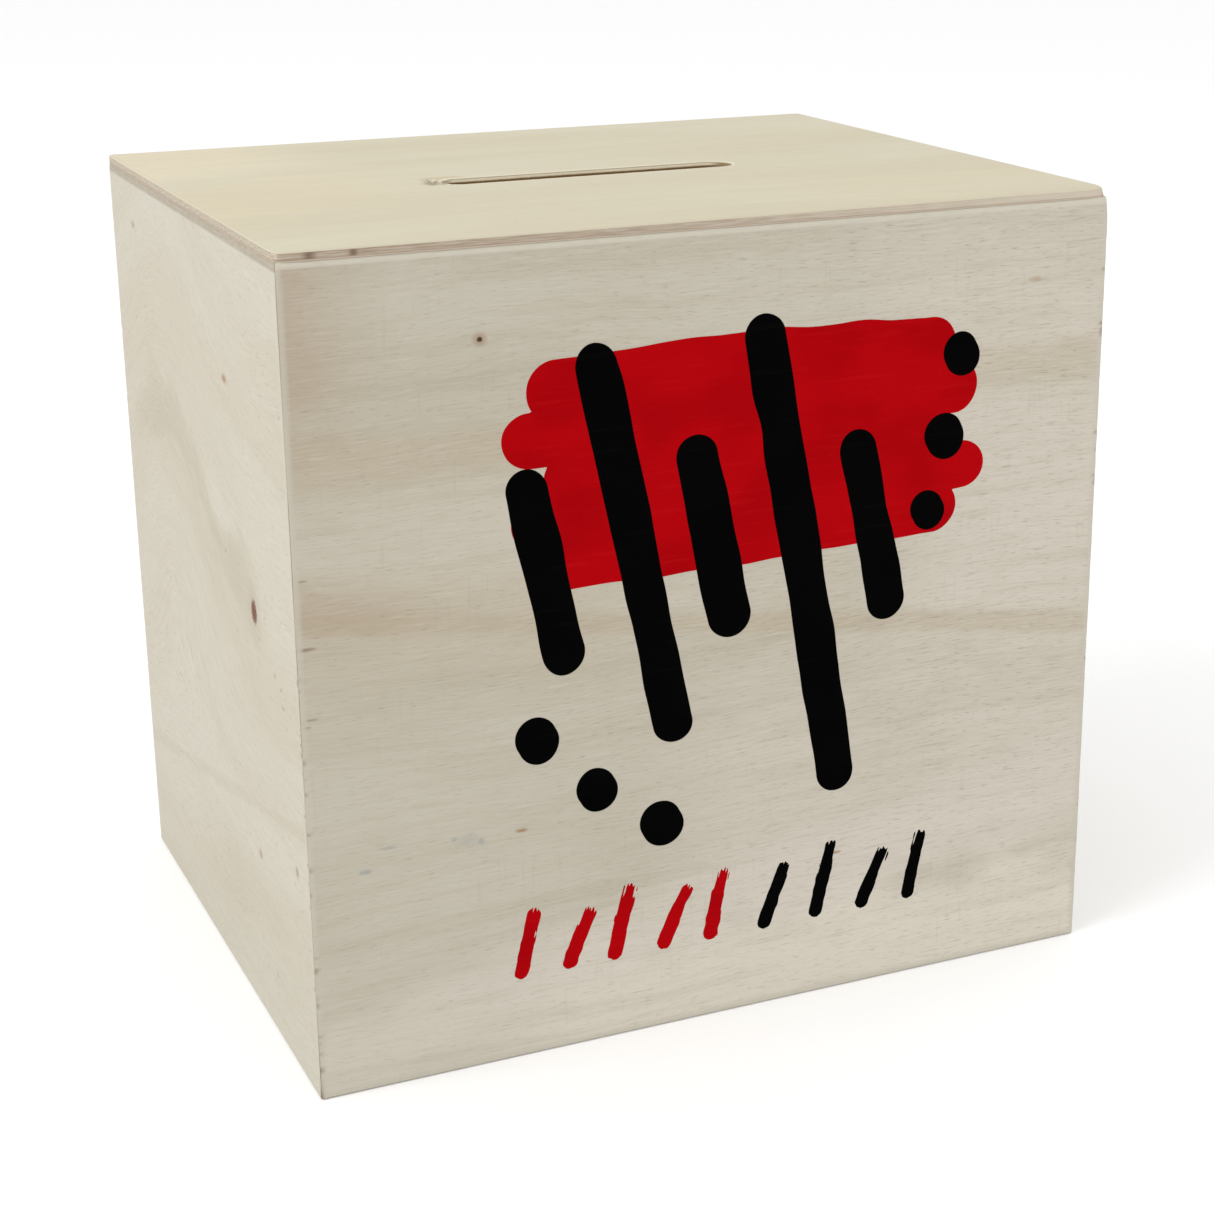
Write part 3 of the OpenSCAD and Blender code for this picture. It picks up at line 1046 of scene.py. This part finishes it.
def sheet_material(name, along, across, look):
    """Poplar plywood for one sheet, with its grain along one axis and across another."""
    wood = Nodes(name, Specular_IOR_Level=0.25)
    axes = {"x": wood.x, "y": wood.y, "z": wood.z}
    u, v = axes[along], axes[across]
    other = axes[({"x", "y", "z"} - {along, across}).pop()]
    bent = lift_arch(wood, u, v, look.arch) if look.arch else v
    bent = bend_round_knots(wood, u, bent, look.knots)
    face, height = veneer_colour(wood, u, bent, other, look)
    face, height = add_marks(wood, face, height, u, v, look)
    arris, in_slot, head = [wood.attribute(field) for field in ("arris", "in_slot", "head")]
    face = wood.mix(wood.times(arris, look.arris_share), face, look.arris)
    # A painted highlight along the slot's upper rim.
    face = wood.mix(wood.times(arris, in_slot), face, look.lip)
    fuzz = wood.figure((u, v, other), (4 * MM, 0.9 * MM, DEEP), 2, 0.6)
    # The band under the top: a painted highlight on the rounded arris, paler than the face, except
    # on the left wall, where it is darker.
    head_share = wood.times(head, wood.ramp(fuzz, 0.3, 0.6, 0.7, 1.0))
    face = wood.mix(head_share, face, look.head)
    run = wood.plus(wood.x, wood.y, look.seed)
    edge, edge_height, level = edge_colour(wood, run, look)
    # The slot's wall colour is painted light, far paler than the wood. Lower down it turns to
    # painted shade where the slot is deep, and at the round ends the dark is also the cutter's
    # scorch.
    painted_depth_shade = wood.ramp(wood.plus(level, wood.times(edge_height, 0.12)), 0.40, 0.60)
    tips = wood.ramp(wood.size(wood.x), *SCORCHED_TIPS, 0.0, 0.85)
    slot_wall = wood.mix(wood.math("MAXIMUM", painted_depth_shade, tips), look.slot, look.scorch)
    edge = wood.mix(wood.times(in_slot, 0.9), edge, slot_wall)
    in_edge = wood.ramp(level, VENEER_SHARE * 0.9, VENEER_SHARE * 1.3)
    in_edge = wood.times(in_edge, wood.minus(1.0, head))
    colour = wood.mix(in_edge, face, edge)
    dark = wood.math("MAXIMUM", wood.times(wood.attribute("torn"), 0.75),
                     wood.times(wood.attribute("seam"), 0.35))
    colour = wood.mix(dark, colour, look.torn)
    roughness = wood.ramp(in_edge, 0.0, 1.0, look.roughness, 0.85)
    roughness = wood.plus(roughness, wood.times(height, 0.06))
    height = wood.mix(in_edge, height, edge_height)
    return wood.finish(colour, roughness, height, look.bump, 0.06 * MM)


def streak(at, slope, half, reach, share, colour, waver=1.2):
    """One soft band along the grain, with its heights in millimetres."""
    return SimpleNamespace(at=at * MM, slope=slope, half=half * MM, share=share, colour=colour,
                           reach=(reach[0] * MM, reach[1] * MM), waver=waver)


def stains(colour, *spots):
    """Small stains of one colour: where each is, how long and wide, all in mm, and its share."""
    return [(u * MM, v * MM, long * MM, wide * MM, share, colour)
            for u, v, long, wide, share in spots]


def knot(at_u, at_v, radius):
    return (at_u * MM, at_v * MM, radius * MM)


BROWN = (140, 104, 66)
BLUISH = (126, 136, 136)
TORN = (118, 96, 74)
BASE_LOOK = dict(
    pale=(194, 188, 174), deep=(186, 179, 163), band=(172, 162, 143),
    glint=(205, 200, 188), fibre=(166, 155, 137), fleck=(124, 112, 96),
    knot_ring=BROWN, knot_eye=(58, 40, 28), knot_stretch=1.15,
    # the lip colour is a painted highlight on the slot's upper rim
    knot_halo=0.5, livelier=(1.0, 1.0), lip=(219, 210, 186),
    arris=(203, 198, 186), arris_share=0.7, head=(203, 198, 186),
    # the slot colour is painted light on the slot's wall; the scorch colour is painted shade low in
    # the slot and the cutter's burn at its round ends
    torn=TORN, slot=(250, 236, 205), scorch=(126, 94, 46),
    core_pale=(178, 166, 148), core_deep=(146, 128, 110),
    core_far=(190, 180, 164), core_fade=(-80 * MM, 150 * MM),
    end_pale=(188, 178, 161), end_deep=(154, 141, 124),
    edge_knots=[], edge_knot=(96, 70, 54),
    back=(178, 165, 147), glue=(120, 97, 76), glue_share=0.36,
    bands=0.25, fibres=0.25, flecks=0.30, pores=0.4, checks=0.15,
    roughness=0.62, bump=0.5, sway=0.02, lean=0.0, arch=None,
    knots=[], stains=[], streaks=[], seed=0.0,
)


def look(**changes):
    return SimpleNamespace(**{**BASE_LOOK, **changes})


FRONT_BROWN = (160, 142, 121)
FRONT_TAN = (165, 151, 128)
FRONT_PALE = (197, 190, 179)
FRONT_FOOT = (206, 200, 187)
FRONT_STREAKS = [
    streak(150, 0.0, 62, (60, 150), 0.50, FRONT_PALE),
    streak(225, 0.0, 34, (50, 150), 0.25, FRONT_PALE),
    streak(62, 0.0, 40, (-10, 150), 0.42, FRONT_PALE),
    streak(4, 0.0, 28, (-150, 150), 0.30, FRONT_FOOT),
    streak(4, 0.0, 28, (-62, 150), 0.60, FRONT_FOOT),
    streak(128, -0.05, 20, (-150, -30), 0.32, FRONT_TAN),
    streak(156, -0.02, 15, (-150, -40), 0.22, FRONT_PALE),
    streak(219, 0.0, 30, (-150, -112), 0.75, FRONT_BROWN),
    streak(183, 0.0, 9, (-150, -45), 0.45, FRONT_TAN),
    streak(190, 0.0, 8, (60, 150), 0.40, FRONT_TAN),
    streak(124, -0.14, 4, (-150, 150), 0.50, FRONT_TAN),
    streak(133, -0.10, 8, (-150, -98), 0.45, FRONT_BROWN),
    streak(160, 0.0, 24, (-150, -60), 0.16, FRONT_TAN),
    streak(36, 0.16, 15, (-100, 150), 0.45, FRONT_PALE),
]
LEFT_SMEAR = (160, 149, 126)
LEFT_STREAKS = [
    streak(131, 0.0, 10, (-60, 86), 0.32, LEFT_SMEAR, 3.4),
    streak(122, 0.0, 22, (-60, 50), 0.15, LEFT_SMEAR, 3.4),
    streak(60, -0.2, 2.5, (-150, 150), 0.20, LEFT_SMEAR, 2.0),
    streak(22, -0.1, 20, (-150, 20), 0.10, LEFT_SMEAR, 2.0),
]
TOP_WARM = (200, 188, 158)
TOP_LIGHT = (213, 200, 173)
SLOT_TAN, SLOT_GREY = (176, 150, 104), (112, 104, 88)
LOOKS = {
    "front_panel": look(
        seed=0.13, lean=-0.01, sway=0.010, knots=[knot(-71, 213, 0.8)], streaks=FRONT_STREAKS,
        pale=(179, 173, 158), deep=(172, 165, 149), band=(158, 148, 128),
        glint=(192, 187, 175), fibre=(152, 142, 124), arris=(180, 174, 160),
        head=(188, 182, 168), fibres=0.38, flecks=0.30, pores=0.32, bands=0.3, checks=0.17,
        livelier=(0.8, 1.38),
        stains=stains(TORN, (-122.4, 153, 1.6, 0.4, 0.50), (-122.2, 134, 2.8, 0.6, 0.70),
                      (-121.7, 114, 2.2, 0.4, 0.50), (-123.4, 112, 1.4, 0.4, 0.50))
        + stains(BROWN, (-63, 71, 2.2, 0.7, 0.8), (38, 45, 1.8, 0.6, 0.8),
                 (101, 215, 3.0, 1.0, 0.40))
        + stains(BLUISH, (-109, 67, 2.2, 0.9, 0.55), (-102, 73, 2.2, 0.7, 0.40),
                 (-79, 71, 4.0, 2.4, 0.22), (-75, 70, 1.2, 1.0, 0.50), (-83, 72, 1.0, 0.8, 0.40))),
    "right_panel": look(seed=0.47, knots=[knot(40, 70, 0.9)], fibres=0.3),
    "back_panel": look(seed=0.71, knots=[knot(60, 90, 1.0)], bands=0.4, fibres=0.3),
    "left_panel": look(
        seed=0.29, arch=(42 * MM, 40 * MM, 62 * MM, 60 * MM, 125 * MM), streaks=LEFT_STREAKS,
        fibres=0.23, flecks=0.28, pores=0.3, checks=0.0, bands=0.18,
        knots=[knot(-57, 132, 4.0)], knot_stretch=0.8, knot_eye=(98, 52, 20), knot_halo=0.12,
        pale=(185, 180, 166), deep=(181, 174, 158), head=(157, 147, 131),
        arris=(183, 177, 163), arris_share=0.5,
        stains=stains(BROWN, (69, 222, 2.8, 1.4, 0.50), (-39, 195, 3.0, 1.5, 0.75),
                      (-47, 54, 2.2, 1.7, 0.55), (-88, 65, 1.8, 1.9, 0.60))
        + stains(TORN, (-76, 119, 1.4, 0.9, 0.45), (-82, 117, 1.0, 0.8, 0.45),
                 (-83, 112, 1.4, 0.8, 0.40), (-61, 125, 0.9, 0.7, 0.35),
                 (-28, 142, 1.2, 0.7, 0.40))),
    "top_panel": look(
        seed=0.91, fibres=0.17, flecks=0.10, pores=0.0, checks=0.05, bands=0.12, bump=0.2,
        roughness=0.55, pale=(198, 191, 167), deep=(194, 185, 159),
        arris=(189, 181, 160), arris_share=0.8, core_pale=(172, 159, 142),
        edge_knots=[(-115.8 * MM, 1.7 * MM), (-104.2 * MM, 1.1 * MM)],
        streaks=[streak(20, 0.3, 40, (-150, -60), 0.5, TOP_WARM),
                 streak(75, 0.0, 50, (-150, -75), 0.55, TOP_LIGHT),
                 streak(-70, 0.0, 30, (40, 150), 0.4, TOP_WARM)],
        stains=stains(BROWN, (-54, -83, 0.8, 0.4, 0.6), (-62, -19, 0.7, 0.4, 0.4))
        + stains(SLOT_TAN, (-45, 4, 9.0, 2.6, 0.50)) + stains(SLOT_GREY, (-51, -6, 3.4, 3.2, 0.60))),
}


RING_STEP = 2.1 * MM  # between the pine's growth rings


def softwood_material():
    """Sawn pine for the battens: straight growth rings, fibres and a fuzzy surface."""
    wood = Nodes("softwood")
    place = (wood.x, wood.y, wood.z)
    drift = wood.figure(place, (50 * MM, 50 * MM, 120 * MM))
    ring_at = wood.plus(wood.x, wood.y, wood.times(drift, 6 * MM))
    rings = wood.math("FRACT", wood.over(ring_at, RING_STEP))
    fibres = wood.figure(place, (0.6 * MM, 0.6 * MM, 12 * MM), 3, 0.6)
    late = wood.ramp(rings, 0.45, 0.95)
    colour = wood.mix(late, (222, 196, 152), (190, 148, 98))
    colour = wood.mix(wood.ramp(fibres, 0.45, 0.7, 0.0, 0.35), colour, (160, 124, 84))
    roughness = wood.ramp(fibres, 0.3, 0.7, 0.65, 0.85)
    return wood.finish(colour, roughness, fibres, 0.5, 0.12 * MM)


def base_material():
    """The base sheet: the same poplar, with its sawn edge and the edge of its bored hole."""
    base_low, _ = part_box("base_panel")
    wood = Nodes("poplar_base")
    settings = look(seed=1.3, knots=[knot(60, -40, 1.2)])
    bent = bend_round_knots(wood, wood.x, wood.y, settings.knots)
    face, height = veneer_colour(wood, wood.x, bent, wood.z, settings)
    face, height = add_marks(wood, face, height, wood.x, wood.y, settings)
    ply = wood.times(wood.minus(wood.z, base_low.z), 1 / SHEET)
    fuzz = wood.figure((wood.x, wood.y, wood.z), (4 * MM, 4 * MM, 0.6 * MM), 2, 0.6)
    core = wood.mix(wood.ramp(fuzz, 0.35, 0.65), settings.end_pale, settings.end_deep)
    in_core = wood.times(wood.ramp(ply, 0.15, 0.25), wood.ramp(ply, 0.75, 0.85, 1.0, 0.0))
    colour = wood.mix(in_core, face, core)
    roughness = wood.ramp(in_core, 0.0, 1.0, 0.65, 0.85)
    return wood.finish(colour, roughness, height, 0.5, 0.05 * MM)


# ---- other materials

def ink_material(name, full, thin, dark):
    """Matt ink that lies thinner along the grain's ridges and thicker in brush streaks."""
    ink = Nodes(name, Specular_IOR_Level=0.015)
    place = (ink.x, ink.z, ink.y)
    streaks = ink.figure(place, (30 * MM, 1.6 * MM, 1.0), 3, 0.6)
    grain = ink.figure(place, (4 * MM, 0.4 * MM, 1.0), 2, 0.6)
    cloud = ink.figure(place, (30 * MM, 20 * MM, 1.0))
    colour = ink.mix(ink.ramp(cloud, 0.4, 0.65), full, dark)
    colour = ink.mix(ink.ramp(streaks, 0.55, 0.8, 0.0, 0.5), colour, thin)
    colour = ink.mix(ink.ramp(grain, 0.62, 0.75, 0.0, 0.5), colour, thin)
    roughness = ink.ramp(grain, 0.3, 0.7, 0.75, 0.9)
    return ink.finish(colour, roughness, grain, 0.35, 0.03 * MM)


def plug_material():
    """Soft black plastic with a fine moulded texture."""
    soft = Nodes("soft_plastic")
    fine = soft.noise(soft.place, 2, 0.6, scale=2600)
    cloudy = soft.noise(soft.place, 2, 0.5, scale=60)
    colour = soft.mix(soft.ramp(cloudy, 0.35, 0.65), (30, 30, 31), (40, 40, 42))
    roughness = soft.ramp(cloudy, 0.3, 0.7, 0.42, 0.56)
    return soft.finish(colour, roughness, fine, 0.25, 0.05 * MM)


def wire_material():
    """Bright drawn steel, a little dull and scratched on the heads."""
    steel = Nodes("brad_steel", Metallic=1.0)
    place = (steel.x, steel.y, steel.z)
    scratch = steel.figure(place, (2.2 * MM, 0.2 * MM, 2 * MM), 2, 0.6)
    stain = steel.noise(steel.place, 2, 0.5, scale=700)
    colour = steel.mix(steel.ramp(stain, 0.4, 0.65), (196, 194, 188), (150, 144, 134))
    roughness = steel.ramp(scratch, 0.3, 0.7, 0.28, 0.5)
    return steel.finish(colour, roughness, scratch, 0.3, 0.03 * MM)


def floor_material():
    """Pale paper that is clear from below, so that the base can be looked at."""
    paper = Nodes("paper")
    fine = paper.noise(paper.place, 2, 0.5, scale=300)
    colour = paper.mix(fine, (250, 250, 250), (252, 252, 252))
    paper.put(paper.shader.inputs["Base Color"], colour)
    paper.put(paper.shader.inputs["Roughness"], paper.ramp(fine, 0.3, 0.7, 0.9, 0.95))
    clear = paper.add("ShaderNodeBsdfTransparent", [])
    below = paper.add("ShaderNodeNewGeometry", []).outputs["Backfacing"]
    both = paper.add("ShaderNodeMixShader", [below, paper.shader.outputs[0], clear.outputs[0]])
    output = paper.tree.nodes["Material Output"]
    paper.tree.links.new(both.outputs[0], output.inputs["Surface"])
    return paper.material


# ---- CAD pieces that stay

POSTS = ["post_front_left", "post_front_right", "post_back_left", "post_back_right"]
CLEATS = ["cleat_front", "cleat_back", "cleat_left", "cleat_right"]


def keep_node(name, material, bevel=0.0):
    """A CAD piece kept as it is, with its material and softly broken edges."""
    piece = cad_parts[name]
    piece.data.materials.clear()
    piece.data.materials.append(material)
    if bevel:
        soften = piece.modifiers.new("broken_edges", "BEVEL")
        soften.width, soften.segments, soften.limit_method = bevel, 2, "ANGLE"
        soften.angle_limit = math.radians(50)


# ---- floor, light and camera

FLOOR_HALF = 12.0  # half the side of the square floor
FLOOR_Z = -0.2 * MM
SQUARE = ((-1, -1), (1, -1), (1, 1), (-1, 1))
OPENING_INSET = 1.5 * MM  # the floor's opening ends under the walls


def make_stage():
    """A wide pale floor, open under the box so that light reaches the base and the plug."""
    hole_x, hole_y = WIDTH / 2 - OPENING_INSET, DEPTH / 2 - OPENING_INSET
    outline = [(FLOOR_HALF * sx, FLOOR_HALF * sy, FLOOR_Z) for sx, sy in SQUARE]
    opening = [(hole_x * sx, hole_y * sy, FLOOR_Z) for sx, sy in SQUARE]
    faces = [(k, (k + 1) % 4, 4 + (k + 1) % 4, 4 + k) for k in range(4)]
    floor = make_piece("floor", outline + opening, faces)
    floor.data.materials.append(floor_material())


LIGHTS = {  # where each square light hangs, its side and its power in watts
    "key": ((-1.7, -0.35, 1.5), 1.2, 19),
    "side": ((0.55, -0.65, 0.2), 0.5, 0.9),
}


def soft_light(name, place, aim, size, power):
    light = bpy.data.lights.new(name, "AREA")
    light.shape, light.size = "SQUARE", size
    light.energy = power
    lamp = bpy.data.objects.new(name, light)
    lamp.location = place
    lamp.rotation_euler = (Vector(aim) - Vector(place)).to_track_quat("-Z", "Y").to_euler()
    bpy.context.scene.collection.objects.link(lamp)


def light_scene():
    world = bpy.data.worlds.new("room")
    world.use_nodes = True
    background = world.node_tree.nodes["Background"]
    background.inputs["Color"].default_value = linear(255, 255, 255)
    background.inputs["Strength"].default_value = 1.0
    bpy.context.scene.world = world
    for name, (place, size, power) in LIGHTS.items():
        soft_light(name, place, (0, 0, HEIGHT / 2), size, power)
    bpy.context.scene.view_settings.view_transform = "Standard"


AZIMUTH = math.radians(-24.58)
ELEVATION = math.radians(17.97)
ROLL = math.radians(-0.20)
CAMERA_DISTANCE = 774.4 * MM
LENS_MM = 71.12
SHIFT = (-0.0684, -0.0173)
AIM_RIGHT, AIM_UP = 32.2 * MM, -13.8 * MM


def place_camera():
    back = Vector((math.sin(AZIMUTH) * math.cos(ELEVATION),
                   -math.cos(AZIMUTH) * math.cos(ELEVATION), math.sin(ELEVATION)))
    right = Vector((math.cos(AZIMUTH), math.sin(AZIMUTH), 0))
    up = back.cross(right)
    aim = Vector((0, 0, HEIGHT / 2)) + AIM_RIGHT * right + AIM_UP * up
    data = bpy.data.cameras.new("camera")
    data.lens, data.sensor_width = LENS_MM, 36
    data.shift_x, data.shift_y = SHIFT
    camera = bpy.data.objects.new("camera", data)
    camera.location = aim + CAMERA_DISTANCE * back
    camera.rotation_mode = "QUATERNION"
    turn = (-back).to_track_quat("-Z", "Y") @ Quaternion((0, 0, 1), ROLL)
    camera.rotation_quaternion = turn
    bpy.context.scene.collection.objects.link(camera)
    bpy.context.scene.camera = camera


# ---- the whole


place_camera()
light_scene()
make_stage()
for wall in WALLS:
    across_grain = "x" if wall in ("front_panel", "back_panel") else "y"
    make_wall(wall, sheet_material("poplar_" + wall, across_grain, "z", LOOKS[wall]))
make_top(sheet_material("poplar_top", "x", "y", LOOKS["top_panel"]))
keep_node("base_panel", base_material())
pine = softwood_material()
for batten in POSTS + CLEATS:
    keep_node(batten, pine, 0.35 * MM)
keep_node("base_brads", wire_material())
make_plug(plug_material())
red_ink = ink_material("red_ink", (161, 3, 10), (172, 16, 17), (151, 2, 8))
black_ink = ink_material("black_ink", (3, 3, 3), (10, 9, 8), (2, 2, 2))
make_print(red_ink, black_ink)
